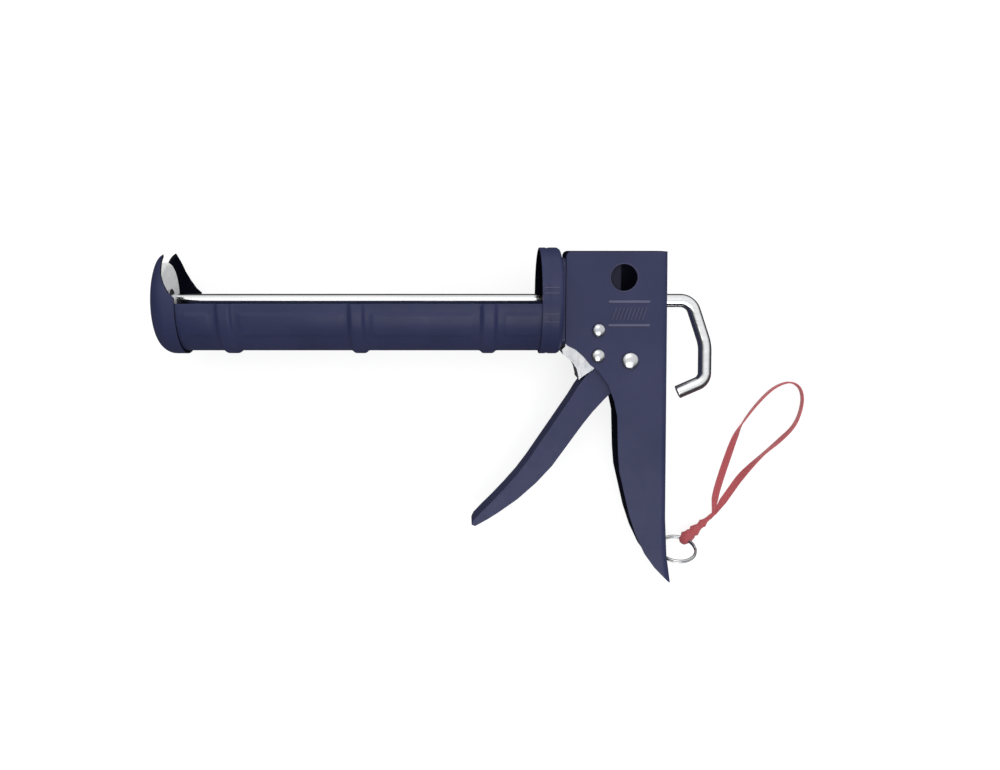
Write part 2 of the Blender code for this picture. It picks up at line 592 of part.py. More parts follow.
def build_plunger(gun, zinc):
    """Pressed plunger disc with its rim turned forward, and the washer behind it."""
    back = ROD_SHOULDER - GAP
    washer = tube_shape(back - WASHER_THICK, back, SPIGOT_RADIUS + GAP, WASHER_RADIUS)
    add("plunger_washer", washer, zinc, gun)
    rear = back - WASHER_THICK - GAP
    front = rear - PLUNGER_SHEET
    bend = 2.0 * MM
    corner = (rear - bend, PLUNGER_RADIUS - bend)
    outer = [(rear, SPIGOT_RADIUS + GAP), *arc(corner, bend, 0, 90, 4), (rear - PLUNGER_RIM, PLUNGER_RADIUS)]
    inner = [(rear - PLUNGER_RIM, PLUNGER_RADIUS - PLUNGER_SHEET),
             *arc(corner, bend - PLUNGER_SHEET, 90, 0, 4), (front, SPIGOT_RADIUS + GAP)]
    add("plunger_disc", turned(outer + inner, 40), zinc, gun)
    return front


def build_rod(gun, chrome, zinc, disc_front):
    """Toothed rod with a hooked end, and the nut that holds the plunger on its spigot."""
    steps = 12
    end = disc_front - GAP - NUT_THICK - 0.6 * MM
    root = ROD_RADIUS - TOOTH_DEPTH
    stations = [(end, 0, 0, SPIGOT_RADIUS, SPIGOT_RADIUS), (ROD_SHOULDER, 0, 0, SPIGOT_RADIUS, SPIGOT_RADIUS),
                (ROD_SHOULDER, 0, 0, ROD_RADIUS, ROD_RADIUS)]
    stations.append((FIRST_TOOTH, 0, 0, ROD_RADIUS, ROD_RADIUS))
    for k in range(TEETH):
        start = FIRST_TOOTH + TOOTH_FACE + k * TOOTH_PITCH
        stations.append((start, 0, 0, ROD_RADIUS, root))
        stations.append((start + TOOTH_PITCH - TOOTH_FACE, 0, 0, ROD_RADIUS, ROD_RADIUS))
    route = rounded_route([(stations[-1][0], 0), *scaled(HOOK_ROUTE)], [b * MM for b in HOOK_BENDS], 6)
    stations += [(u, v, turn, ROD_RADIUS, ROD_RADIUS) for u, v, turn in route]
    shape = bmesh.new()
    rings = []
    for u, v, turn, radius, lower in stations:
        ring = []
        for k in range(steps):
            angle = 2 * math.pi * (k + 0.5) / steps
            side = max(radius * math.cos(angle), -lower)
            ring.append(shape.verts.new((u - side * math.sin(turn), v + side * math.cos(turn),
                                         radius * math.sin(angle))))
        rings.append(ring)
    for near, far in zip(rings, rings[1:]):
        for i in range(steps):
            j = (i + 1) % steps
            shape.faces.new((near[i], near[j], far[j], far[i]))
    shape.faces.new(rings[0])
    shape.faces.new(rings[-1])
    add("push_rod", shape, chrome, gun)

    corner = NUT_FLATS / 2 / math.cos(math.pi / 6)
    nut = add("plunger_nut", rod_shape(disc_front - GAP - NUT_THICK, disc_front - GAP, corner, 6), zinc, gun)
    cut(nut, rod_shape(disc_front - 8 * MM, disc_front + 4 * MM, SPIGOT_RADIUS + GAP, 16))


def ring_frame():
    """The split ring's own axes: x away from the handle, y down towards the table, z its normal."""
    down = Vector((0, math.cos(RING_LEAN), -math.sin(RING_LEAN)))
    out = Vector((1, 0, 0))
    normal = out.cross(down)
    centre = Vector((RING_CENTRE[0] * MM + GUN_PLACE.x, RING_CENTRE[1] * MM + GUN_PLACE.y, RING_HEIGHT))
    turn = Matrix((out, down, normal)).transposed().to_4x4()
    return Matrix.Translation(centre) @ turn


def ring_shape(radius, wire, height, steps, sides):
    """A ring about its own z axis, with an oval section."""
    shape = bmesh.new()
    rings = []
    for k in range(steps):
        angle = 2 * math.pi * k / steps
        ring = []
        for m in range(sides):
            bend = 2 * math.pi * m / sides
            reach = radius + wire * math.cos(bend)
            ring.append(shape.verts.new((reach * math.cos(angle), reach * math.sin(angle),
                                         height * math.sin(bend))))
        rings.append(ring)
    for k in range(steps):
        near, far = rings[k], rings[(k + 1) % steps]
        for m in range(sides):
            j = (m + 1) % sides
            shape.faces.new((near[m], near[j], far[j], far[m]))
    return shape


def build_ring(body, zinc):
    """Split ring through two holes in the spine, either side of a bridge of sheet."""
    axes = ring_frame()
    carrier = empty("ring_axle", None, axes)
    add("split_ring", ring_shape(RING_RADIUS, RING_WIRE, 1.2 * MM, 36, 8), zinc, carrier)
    v, rear = scaled(SPINE)[-2]
    spine = GUN_AXES @ Vector((rear - BODY_SHEET / 2, v, 0))
    reach = math.acos((spine.x - axes.translation.x) / RING_RADIUS)
    for angle in (reach, -reach):
        point = axes @ Vector((RING_RADIUS * math.cos(angle), RING_RADIUS * math.sin(angle), 0))
        local = GUN_AXES.inverted() @ point
        hole = rod_shape(local.x - 4 * MM, local.x + 6 * MM, RING_HOLE, 20)
        cut(body, along(hole, local.y, local.z))
    return axes


def build_strap(axes, cord):
    """Knot on the ring, and the loop of strap that lies on the table."""
    eye = axes @ Vector((RING_RADIUS * math.cos(KNOT_ANGLE), RING_RADIUS * math.sin(KNOT_ANGLE), 0))
    lift = STRAP_RADIUS + GAP
    route = [Vector((x + GUN_PLACE.x, y + GUN_PLACE.y, lift)) for x, y in scaled(STRAP_ROUTE)]
    end = (route[0] + route[-1]) / 2
    end.z = 2.4 * MM
    out = (end - eye).normalized()
    length = (end - eye).length - STRAP_RADIUS - GAP
    widths = ((0.0, 1.3), (0.10, 2.2), (0.24, 2.9), (0.40, 2.9), (0.54, 2.2), (0.66, 1.9), (1.0, 2.0))
    shape = bmesh.new()
    rings = []
    sides = 10
    across_way = out.cross(Vector((0, 0, 1))).normalized()
    up = across_way.cross(out)
    for part, radius in widths:
        place = eye + out * ((2.6 * MM) + (length - 3.2 * MM) * part)
        ring = []
        for k in range(sides):
            angle = 2 * math.pi * k / sides
            ring.append(shape.verts.new(place + (across_way * math.cos(angle) + up * 0.8 * math.sin(angle))
                                        * radius * MM))
        rings.append(ring)
    for near, far in zip(rings, rings[1:]):
        for i in range(sides):
            j = (i + 1) % sides
            shape.faces.new((near[i], near[j], far[j], far[i]))
    shape.faces.new(rings[0])
    shape.faces.new(rings[-1])
    knot = add("strap_knot", shape, cord, None)

    loop = ring_shape(2.6 * MM, 0.9 * MM, 0.9 * MM, 20, 8)
    tangent = axes.to_3x3() @ Vector((-math.sin(KNOT_ANGLE), math.cos(KNOT_ANGLE), 0))
    side = tangent.cross(out).normalized()
    turn = Matrix((side, out, side.cross(out))).transposed().to_4x4()
    bmesh.ops.transform(loop, matrix=Matrix.Translation(eye) @ turn, verts=loop.verts)
    cut(knot, loop, "UNION")

    tube_curve("wrist_strap", smooth_line(route, 4), STRAP_RADIUS, cord, None, 2)


def main():
    for old in list(bpy.data.objects):
        bpy.data.objects.remove(old)
    paint = material("navy_paint", PAINT, 0.42, 0.0)
    zinc = material("zinc_plate", ZINC, 0.32, 1.0)
    steel = material("spring_steel", (0.32, 0.32, 0.33), 0.38, 1.0)
    chrome = material("bright_chrome", (0.83, 0.83, 0.84), 0.12, 1.0)
    cord = material("coral_webbing", (0.50, 0.105, 0.115), 0.8, 0.0)
    gun = empty("gun", None, GUN_AXES)
    build_barrel(gun, paint)
    body = build_body(gun, paint)
    build_bracket(gun, paint, zinc)
    build_rivets(gun, zinc, steel)
    build_brake(gun, steel)
    axle, pin = build_trigger(gun, paint, steel)
    build_pawl(axle, pin, steel)
    build_springs(gun, axle, pin, steel)
    disc_front = build_plunger(gun, zinc)
    build_rod(gun, chrome, zinc, disc_front)
    axes = build_ring(body, zinc)
    build_strap(axes, cord)


main()
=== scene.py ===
# %% [markdown]
# # Looks of a caulking gun
#
# The gun lies on its side on a pale table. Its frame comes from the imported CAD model, and every
# new piece here sits on that frame. Lengths are in metres, and MM turns millimetres into them.

# %% Load the frame
import json
import math

import bpy
from mathutils import Matrix, Vector


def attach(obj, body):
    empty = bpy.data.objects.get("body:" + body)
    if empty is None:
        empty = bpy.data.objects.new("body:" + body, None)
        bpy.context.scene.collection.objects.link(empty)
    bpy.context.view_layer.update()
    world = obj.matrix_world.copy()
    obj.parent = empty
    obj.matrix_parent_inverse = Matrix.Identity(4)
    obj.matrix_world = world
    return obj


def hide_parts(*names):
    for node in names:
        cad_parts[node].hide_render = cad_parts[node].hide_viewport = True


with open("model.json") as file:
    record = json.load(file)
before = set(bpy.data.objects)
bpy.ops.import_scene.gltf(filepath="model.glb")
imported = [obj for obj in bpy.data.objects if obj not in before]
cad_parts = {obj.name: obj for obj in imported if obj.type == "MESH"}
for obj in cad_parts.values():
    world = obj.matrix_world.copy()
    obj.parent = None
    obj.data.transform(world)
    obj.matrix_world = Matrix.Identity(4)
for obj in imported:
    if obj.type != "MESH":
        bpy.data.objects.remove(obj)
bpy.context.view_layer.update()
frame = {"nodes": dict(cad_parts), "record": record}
MM = 0.001
GAP = 0.3 * MM

# %% [markdown]
# ## The gun's own axes
#
# The round cup and the round cap touch the table and the handle tip nearly does, so the gun is
# tilted a little about its push rod. It is easier to model it untilted: u runs rearward along the
# rod, v up from the handle tip to the open side of the barrel, and w across the gun. Each finished
# piece is then moved by one matrix, GUN, and that move is applied to its mesh.

# %% Gun axes
CUP_RADIUS = 31.7 * MM
HALF_WIDTH = 12.8 * MM
TIP_DEPTH = 171.0 * MM
CAP_FACE = -242.3 * MM
HOOK_REAR = 88.3 * MM
TILT = math.asin(CUP_RADIUS / math.hypot(TIP_DEPTH, HALF_WIDTH)) - math.atan2(HALF_WIDTH, TIP_DEPTH)
TIP_REACH = TIP_DEPTH * math.cos(TILT) + HALF_WIDTH * math.sin(TILT)
GUN_PLACE = Vector((-(CAP_FACE + HOOK_REAR) / 2, (TIP_REACH - CUP_RADIUS) / 2, CUP_RADIUS))
GUN = Matrix.Translation(GUN_PLACE) @ Matrix.Rotation(TILT, 4, "X")
print("tilt in degrees:", round(math.degrees(TILT), 3), "rod axis at", [round(c, 4) for c in GUN_PLACE])

# %% [markdown]
# ## Camera
#
# The camera looks straight down. A lens as long as the sensor is wide gives a mild perspective,
# so what stands higher looks a little larger than what lies on the table.

# %% Camera
camera_data = bpy.data.cameras.new("top_camera")
camera_data.sensor_width = 36
camera_data.lens = 36
camera_data.shift_x = 0.04
camera_data.shift_y = -0.038
camera_data.clip_end = 100
camera = bpy.data.objects.new("top_camera", camera_data)
camera.location = GUN_PLACE + Vector((-0.0636, -0.0279, 0.6))
bpy.context.scene.collection.objects.link(camera)
bpy.context.scene.camera = camera
print("camera at", [round(c, 4) for c in camera.location])

# %% [markdown]
# ## Wrist strap
#
# The strap is a flat woven ribbon, 4.4 mm wide, about a fifth of a metre long. Both its ends go
# into the knot on the split ring, and the loop lies on the table. A ribbon that is bent sideways
# can't stay flat, so it stands on its edge at the far bend and lies flat on the straights. It is
# built as a mesh along the route, with the turn of the ribbon given at each station, because a
# plain bevelled curve would be round.

# %% Route of the strap
STRAP_WIDTH = 4.4 * MM
STRAP_THICK = 1.0 * MM
STRAP_ROUTE = (
    (95.9, -132.6), (97.2, -123.0), (99.9, -113.0), (105.0, -97.7), (109.6, -84.8), (114.3, -75.5),
    (123.5, -63.5), (133.5, -54.0), (142.9, -50.2), (149.3, -52.8), (151.7, -60.0), (149.9, -70.0),
    (145.5, -78.5), (137.5, -86.5), (127.5, -95.0), (118.9, -103.2), (112.4, -110.6), (106.5, -119.0),
    (101.2, -126.4), (96.9, -132.3))
STRAP_TURN = (40, 14, 5, 6, 30, 76, 88, 90, 90, 90, 90, 90, 84, 76, 88, 62, 28, 10, 14, 40)
STRAP_PINCH = 9 * MM


def smooth_line(points, spans):
    """A Catmull-Rom curve through the points, with this many spans between each pair."""
    vectors = [Vector(p) for p in points]
    vectors = [2 * vectors[0] - vectors[1], *vectors, 2 * vectors[-1] - vectors[-2]]
    line = []
    for a, b, c, d in zip(vectors, vectors[1:], vectors[2:], vectors[3:]):
        for k in range(spans):
            t = k / spans
            line.append(0.5 * (2 * b + (c - a) * t + (2 * a - 5 * b + 4 * c - d) * t ** 2
                               + (3 * b - a - 3 * c + d) * t ** 3))
    return [*line, vectors[-2]]


def strap_stations():
    """Centre line of the ribbon and the angle that its wide side makes with the table."""
    flat = [Vector((x * MM + GUN_PLACE.x, y * MM + GUN_PLACE.y, turn))
            for (x, y), turn in zip(STRAP_ROUTE, STRAP_TURN)]
    stations = []
    for point in smooth_line(flat, 12):
        turn = math.radians(min(max(point.z, 0), 90))
        half = (STRAP_THICK * math.cos(turn) + STRAP_WIDTH * math.sin(turn)) / 2
        stations.append((Vector((point.x, point.y, GAP + half)), turn))
    return stations


stations = strap_stations()
strap_path = [place for place, turn in stations]

# %% Ribbon of the strap
STRAP_SECTION = ((-0.5, -0.30), (-0.46, -0.5), (-0.2, -0.42), (0.2, -0.42), (0.46, -0.5), (0.5, -0.30),
                 (0.5, 0.30), (0.46, 0.5), (0.2, 0.42), (-0.2, 0.42), (-0.46, 0.5), (-0.5, 0.30))


def build_strap(stations):
    """A closed ribbon along the stations. Its UV map counts millimetres across and along."""
    verts, faces, marks = [], [], []
    run = 0.0
    size = len(STRAP_SECTION)
    whole = sum((b[0] - a[0]).length for a, b in zip(stations, stations[1:]))
    for i, (place, turn) in enumerate(stations):
        before = stations[max(i - 1, 0)][0]
        after = stations[min(i + 1, len(stations) - 1)][0]
        run += (place - before).length
        way = (after - before).normalized()
        side = way.cross(Vector((0, 0, 1))).normalized()
        wide = Matrix.Rotation(turn, 3, way) @ side
        thin = wide.cross(way)
        pinch = 0.5 + 0.5 * min(1.0, run / STRAP_PINCH, (whole - run) / STRAP_PINCH)
        for a, b in STRAP_SECTION:
            verts.append(place + wide * a * STRAP_WIDTH * pinch + thin * b * STRAP_THICK)
            marks.append((a * STRAP_WIDTH / MM, run / MM))
    for i in range(len(stations) - 1):
        for j in range(size):
            k = (j + 1) % size
            faces.append((i * size + j, i * size + k, (i + 1) * size + k, (i + 1) * size + j))
    faces.append(tuple(reversed(range(size))))
    faces.append(tuple(range((len(stations) - 1) * size, len(stations) * size)))
    mesh = bpy.data.meshes.new("strap_ribbon")
    mesh.from_pydata(verts, [], faces)
    layer = mesh.uv_layers.new(name="weave")
    for loop in mesh.loops:
        layer.data[loop.index].uv = marks[loop.vertex_index]
    ribbon = bpy.data.objects.new("strap_ribbon", mesh)
    bpy.context.scene.collection.objects.link(ribbon)
    return ribbon


strap_ribbon = build_strap(stations)
bpy.ops.object.select_all(action="DESELECT")
strap_ribbon.select_set(True)
bpy.context.view_layer.objects.active = strap_ribbon
bpy.ops.object.mode_set(mode="EDIT")
bpy.ops.mesh.select_all(action="SELECT")
bpy.ops.mesh.normals_make_consistent(inside=False)
bpy.ops.object.mode_set(mode="OBJECT")
bpy.ops.object.shade_smooth_by_angle(angle=math.radians(50))
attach(strap_ribbon, "ring")
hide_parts("wrist_strap")
print("ribbon faces:", len(strap_ribbon.data.polygons))

# %% [markdown]
# ## Table and light
#
# A wide white table fades into a white backdrop, and it glows a little so that shadows stay faint.
# One soft lamp stands beyond the barrel and one fills from the handle side. The sky is bright
# overhead and on the far side, and dim near the rest of the horizon, so polished steel shows a
# bright middle and a dark edge.

# %% Table and backdrop
bpy.ops.object.select_all(action="DESELECT")
bpy.ops.mesh.primitive_plane_add(size=40)
table = bpy.context.active_object
table.name = "table"
table_white = bpy.data.materials.new("table_white")
table_white.use_nodes = True
table_shader = table_white.node_tree.nodes["Principled BSDF"]
table_shader.inputs["Base Color"].default_value = (0.3, 0.3, 0.3, 1)
table_shader.inputs["Roughness"].default_value = 0.8
table_shader.inputs["Specular IOR Level"].default_value = 0.0
table_shader.inputs["Emission Color"].default_value = (1, 1, 1, 1)
table_shader.inputs["Emission Strength"].default_value = 0.8
table.data.materials.append(table_white)
table.visible_glossy = False

sky = bpy.data.worlds.new("studio")
sky.use_nodes = True
sky_nodes = sky.node_tree.nodes
sky_links = sky.node_tree.links
direction = sky_nodes.new("ShaderNodeTexCoord")
split = sky_nodes.new("ShaderNodeSeparateXYZ")
ramp = sky_nodes.new("ShaderNodeValToRGB")
ramp.color_ramp.elements[0].position = 0.2
ramp.color_ramp.elements[0].color = (0.05, 0.05, 0.055, 1)
ramp.color_ramp.elements[1].position = 0.75
ramp.color_ramp.elements[1].color = (1, 1, 1, 1)
sky_links.new(direction.outputs["Generated"], split.inputs[0])
far_wall = sky_nodes.new("ShaderNodeMath")
far_wall.operation = "MULTIPLY_ADD"
far_wall.inputs[1].default_value = 0.7
hook_wall = sky_nodes.new("ShaderNodeMath")
hook_wall.operation = "MULTIPLY_ADD"
hook_wall.inputs[1].default_value = 0.25
sky_links.new(split.outputs["Y"], far_wall.inputs[0])
sky_links.new(split.outputs["Z"], far_wall.inputs[2])
sky_links.new(split.outputs["X"], hook_wall.inputs[0])
sky_links.new(far_wall.outputs[0], hook_wall.inputs[2])
sky_links.new(hook_wall.outputs[0], ramp.inputs["Fac"])
sky_links.new(ramp.outputs["Color"], sky_nodes["Background"].inputs["Color"])
sky_nodes["Background"].inputs["Strength"].default_value = 0.95
bpy.context.scene.world = sky
bpy.context.scene.view_settings.view_transform = "Standard"


def soft_lamp(name, place, aim, size, watts):
    """A square soft box that points at a spot on the table."""
    lamp_data = bpy.data.lights.new(name, "AREA")
    lamp_data.shape = "SQUARE"
    lamp_data.size = size
    lamp_data.energy = watts
    lamp = bpy.data.objects.new(name, lamp_data)
    lamp.location = place
    lamp.rotation_euler = (Vector(aim) - Vector(place)).to_track_quat("-Z", "Y").to_euler()
    bpy.context.scene.collection.objects.link(lamp)


soft_lamp("barrel_side_box", (-0.1, 0.7, 1.4), (0, 0.02, 0), 0.9, 4)
soft_lamp("handle_side_box", (0.1, -0.6, 0.8), (0.05, -0.05, 0), 0.6, 3.6)

# %% [markdown]
# ## Finishes
#
# Blue enamel, two zinc platings, blued spring steel, chrome and one fabric cover the gun. Each finish
# is a Principled shader whose colour and roughness wander a little with noise read in object
# coordinates, so no surface is one flat tone. Darker and lighter copies of the enamel are painted
# shade and painted highlights, and the plunger's zinc is whitened as a painted reflection.


# %% Shader helpers
def plain_shader(name, metallic):
    """A material, its node tree and its Principled shader."""
    made = bpy.data.materials.new(name)
    made.use_nodes = True
    shader = made.node_tree.nodes["Principled BSDF"]
    shader.inputs["Metallic"].default_value = metallic
    shader.inputs["IOR"].default_value = 1.5
    return made, made.node_tree, shader


def noise(tree, scale, stretch=(1, 1, 1), detail=3.0, source="Object"):
    """Noise in metres of object space, stretched along an axis when asked."""
    place = tree.nodes.new("ShaderNodeTexCoord")
    mapping = tree.nodes.new("ShaderNodeMapping")
    mapping.inputs["Scale"].default_value = stretch
    texture = tree.nodes.new("ShaderNodeTexNoise")
    texture.inputs["Scale"].default_value = scale
    texture.inputs["Detail"].default_value = detail
    tree.links.new(place.outputs[source], mapping.inputs["Vector"])
    tree.links.new(mapping.outputs["Vector"], texture.inputs["Vector"])
    return texture.outputs["Fac"]


def ramp_between(tree, value, low, high, start=0.3, end=0.7):
    """Colours from low to high as a value goes from start to end."""
    ramp = tree.nodes.new("ShaderNodeValToRGB")
    ramp.color_ramp.elements[0].position = start
    ramp.color_ramp.elements[0].color = (*low, 1)
    ramp.color_ramp.elements[1].position = end
    ramp.color_ramp.elements[1].color = (*high, 1)
    tree.links.new(value, ramp.inputs["Fac"])
    return ramp.outputs["Color"]


def spread(tree, value, low, high):
    """Stretches a value that runs about its middle to the range from low to high."""
    mapped = tree.nodes.new("ShaderNodeMapRange")
    mapped.inputs["From Min"].default_value = 0.3
    mapped.inputs["From Max"].default_value = 0.7
    mapped.inputs["To Min"].default_value = low
    mapped.inputs["To Max"].default_value = high
    tree.links.new(value, mapped.inputs["Value"])
    return mapped.outputs["Result"]


def bump(tree, shader, height, strength, depth):
    """Feeds a height into the shader's normal, with its depth in metres."""
    node = tree.nodes.new("ShaderNodeBump")
    node.inputs["Strength"].default_value = strength
    node.inputs["Distance"].default_value = depth
    tree.links.new(height, node.inputs["Height"])
    tree.links.new(node.outputs["Normal"], shader.inputs["Normal"])


# %% Dark blue stove enamel
def navy_enamel(name, low, high, gloss):
    """Enamel over steel, between two colours. Its lighter copies are painted highlights on raised marks, and
    its darker copies are painted shade.
    """
    made, tree, shader = plain_shader(name, 0.0)
    tree.links.new(ramp_between(tree, noise(tree, 28, detail=4), low, high), shader.inputs["Base Color"])
    tree.links.new(spread(tree, noise(tree, 160), 0.40, 0.52), shader.inputs["Roughness"])
    shader.inputs["Specular IOR Level"].default_value = gloss
    shader.inputs["Coat Weight"].default_value = 0.06
    shader.inputs["Coat Roughness"].default_value = 0.25
    bump(tree, shader, noise(tree, 950, detail=2), 0.35, 0.05 * MM)
    return made


# %% Zinc plate, spring steel and chrome
def zinc_plate():
    made, tree, shader = plain_shader("zinc_bright", 1.0)
    tint = noise(tree, 120, detail=2)
    tree.links.new(ramp_between(tree, tint, (0.52, 0.54, 0.57), (0.66, 0.66, 0.665)),
                   shader.inputs["Base Color"])
    tree.links.new(spread(tree, noise(tree, 420, (1, 0.25, 1)), 0.18, 0.32), shader.inputs["Roughness"])
    bump(tree, shader, noise(tree, 1500, (1, 0.15, 1), detail=2), 0.25, 0.03 * MM)
    return made


def whitened_zinc():
    """Zinc plate of the plunger, duller than the rest, and whitened as a painted reflection."""
    made, tree, shader = plain_shader("zinc_painted_reflection", 0.0)
    tree.links.new(ramp_between(tree, noise(tree, 300, detail=3), (0.78, 0.79, 0.80), (0.90, 0.90, 0.90)),
                   shader.inputs["Base Color"])
    tree.links.new(spread(tree, noise(tree, 600), 0.38, 0.5), shader.inputs["Roughness"])
    bump(tree, shader, noise(tree, 1400, detail=2), 0.3, 0.03 * MM)
    return made


def spring_steel():
    made, tree, shader = plain_shader("spring_blued", 1.0)
    temper = noise(tree, 90, detail=2)
    tree.links.new(ramp_between(tree, temper, (0.20, 0.21, 0.25), (0.36, 0.33, 0.30)),
                   shader.inputs["Base Color"])
    tree.links.new(spread(tree, noise(tree, 500), 0.28, 0.42), shader.inputs["Roughness"])
    return made


def rod_chrome():
    made, tree, shader = plain_shader("rod_polish", 1.0)
    streak = noise(tree, 700, (0.03, 1, 1), detail=3)
    tree.links.new(ramp_between(tree, streak, (0.78, 0.79, 0.81), (0.90, 0.90, 0.90)),
                   shader.inputs["Base Color"])
    tree.links.new(spread(tree, streak, 0.09, 0.17), shader.inputs["Roughness"])
    bump(tree, shader, noise(tree, 1800, (0.02, 1, 1), detail=2), 0.06, 0.01 * MM)
    return made


# %% Coral webbing
def coral_webbing(source):
    """Woven ribbon. Ribs run across it, two to the millimetre, and yarns cross them."""
    made, tree, shader = plain_shader("coral_" + source.lower(), 0.0)
    place = tree.nodes.new("ShaderNodeTexCoord")
    mapping = tree.nodes.new("ShaderNodeMapping")
    scale = 1.0 if source == "UV" else 1000.0
    mapping.inputs["Scale"].default_value = (scale, scale, scale)
    tree.links.new(place.outputs[source], mapping.inputs["Vector"])
    ribs = tree.nodes.new("ShaderNodeTexWave")
    ribs.bands_direction = "Y"
    ribs.inputs["Scale"].default_value = 0.55
    ribs.inputs["Distortion"].default_value = 0.6
    ribs.inputs["Detail Scale"].default_value = 2.0
    yarns = tree.nodes.new("ShaderNodeTexWave")
    yarns.bands_direction = "X"
    yarns.inputs["Scale"].default_value = 0.5
    yarns.inputs["Distortion"].default_value = 0.3
    weave = tree.nodes.new("ShaderNodeMath")
    weave.operation = "MULTIPLY"
    for texture, slot in ((ribs, 0), (yarns, 1)):
        tree.links.new(mapping.outputs["Vector"], texture.inputs["Vector"])
        tree.links.new(texture.outputs["Fac"], weave.inputs[slot])
    tree.links.new(ramp_between(tree, weave.outputs[0], (0.34, 0.055, 0.066), (0.66, 0.17, 0.18), 0.0, 0.8),
                   shader.inputs["Base Color"])
    shader.inputs["Roughness"].default_value = 0.85
    shader.inputs["Sheen Weight"].default_value = 0.35
    shader.inputs["Sheen Roughness"].default_value = 0.4
    shader.inputs["Specular IOR Level"].default_value = 0.25
    bump(tree, shader, weave.outputs[0], 0.8, 0.15 * MM)
    return made


# Besides the plain enamel, these copies are painted light: near-black painted shade inside the gun, darker
# painted shade on the bracket behind the hang hole, and two lighter painted highlights on raised marks.
ENAMEL = navy_enamel("navy_enamel", (0.024, 0.028, 0.076), (0.032, 0.036, 0.094), 0.2)
ENAMEL_INNER_SHADE = navy_enamel("navy_enamel_inner_shade", (0.003, 0.003, 0.008), (0.004, 0.005, 0.012), 0.03)
ENAMEL_SHADED = navy_enamel("navy_enamel_shaded", (0.009, 0.010, 0.022), (0.012, 0.013, 0.028), 0.1)
ENAMEL_EDGE_HIGHLIGHT = navy_enamel("navy_enamel_edge_highlight", (0.048, 0.050, 0.102), (0.062, 0.063, 0.124), 0.22)
ENAMEL_BRIGHT_HIGHLIGHT = navy_enamel("navy_enamel_bright_highlight", (0.082, 0.083, 0.145), (0.105, 0.106, 0.180), 0.24)
ZINC = zinc_plate()
ZINC_PAINTED_REFLECTION = whitened_zinc()
STEEL = spring_steel()
CHROME = rod_chrome()
WEBBING = coral_webbing("UV")
YARN = coral_webbing("Object")
strap_ribbon.data.materials.append(WEBBING)
print("finishes:", [m.name for m in (ENAMEL, ZINC, STEEL, CHROME, WEBBING, YARN)])

# %% Finishes on the CAD nodes
SLOT_FINISH = {"navy_paint": ENAMEL, "zinc_plate": ZINC, "spring_steel": STEEL, "bright_chrome": CHROME,
               "coral_webbing": YARN}
node_slot = {row["node"]: row["material_slot"] for row in frame["record"]["subparts"]}
for node_name, node in frame["nodes"].items():
    node.data.materials.clear()
    node.data.materials.append(SLOT_FINISH[node_slot[node_name]])
print("nodes with a finish:", len(frame["nodes"]))

# %% [markdown]
# ## Tools for the metal pieces
#
# Sheet metal and turned metal both start from an outline. A plane is merged to one corner, and that
# corner is extruded from point to point, which is how an outline is traced by hand. A turned piece
# is then spun about its axis, and a flat piece is filled and extruded to its thickness.


# %% Selecting, tracing, spinning and extruding
def only(piece):
    """Selects one object alone and makes it the active one."""
    bpy.ops.object.select_all(action="DESELECT")
    piece.select_set(True)
    bpy.context.view_layer.objects.active = piece


def edit(piece):
    """Opens one object in edit mode with all of it selected."""
    only(piece)
    bpy.ops.object.mode_set(mode="EDIT")
    bpy.ops.mesh.select_all(action="SELECT")


def trace(name, points):
    """A line of edges through the points, drawn by extruding one corner."""
    bpy.ops.object.select_all(action="DESELECT")
    bpy.ops.mesh.primitive_plane_add(size=2 * MM, location=(0, 0, 0))
    piece = bpy.context.active_object
    piece.name = name
    edit(piece)
    bpy.ops.mesh.merge(type="CENTER")
    bpy.ops.transform.translate(value=points[0])
    for a, b in zip(points, points[1:]):
        bpy.ops.mesh.extrude_vertices_move(TRANSFORM_OT_translate={"value": Vector(b) - Vector(a)})
    bpy.ops.object.mode_set(mode="OBJECT")
    return piece


def tidy(piece):
    """Merges doubles and turns every face outward."""
    edit(piece)
    bpy.ops.mesh.remove_doubles(threshold=0.002 * MM)
    bpy.ops.mesh.normals_make_consistent(inside=False)
    bpy.ops.object.mode_set(mode="OBJECT")
    return piece


def spun(name, profile, centre=(0, 0, 0), axis=(1, 0, 0), steps=96, sweep=360):
    """A profile spun about an axis."""
    piece = trace(name, profile)
    edit(piece)
    bpy.ops.mesh.spin(steps=steps, angle=math.radians(sweep), center=centre, axis=axis)
    bpy.ops.object.mode_set(mode="OBJECT")
    return tidy(piece)


def plate(name, points, sweep):
    """An outline filled and extruded along a vector."""
    piece = trace(name, points)
    edit(piece)
    bpy.ops.mesh.edge_face_add()
    bpy.ops.mesh.extrude_region_move(TRANSFORM_OT_translate={"value": sweep})
    bpy.ops.object.mode_set(mode="OBJECT")
    return tidy(piece)


def cut_away(piece, cutter):
    """Removes the cutter's volume from a piece, and then the cutter."""
    modifier = piece.modifiers.new("cut", "BOOLEAN")
    modifier.object = cutter
    modifier.solver = "EXACT"
    only(piece)
    bpy.ops.object.modifier_apply(modifier="cut")
    bpy.data.objects.remove(cutter)


def soften(piece, width, limit=40):
    """Rounds the edges that are sharper than the limit."""
    modifier = piece.modifiers.new("edges", "BEVEL")
    modifier.width = width
    modifier.segments = 2
    modifier.limit_method = "ANGLE"
    modifier.angle_limit = math.radians(limit)
    only(piece)
    bpy.ops.object.modifier_apply(modifier="edges")


def place(piece, body, slot, finish, nodes=(), axes=GUN, smooth=35):
    """Moves a piece's mesh to its place, gives it its finish, and puts it on its body."""
    piece.data.transform(axes)
    only(piece)
    bpy.ops.object.shade_smooth_by_angle(angle=math.radians(smooth))
    normals = piece.modifiers.new("flats", "WEIGHTED_NORMAL")
    normals.keep_sharp = True
    bpy.ops.object.modifier_apply(modifier="flats")
    piece.data.materials.clear()
    piece.data.materials.append(finish)
    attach(piece, body)
    if nodes:
        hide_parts(*nodes)
    print(piece.name, "faces:", len(piece.data.polygons))
    return piece


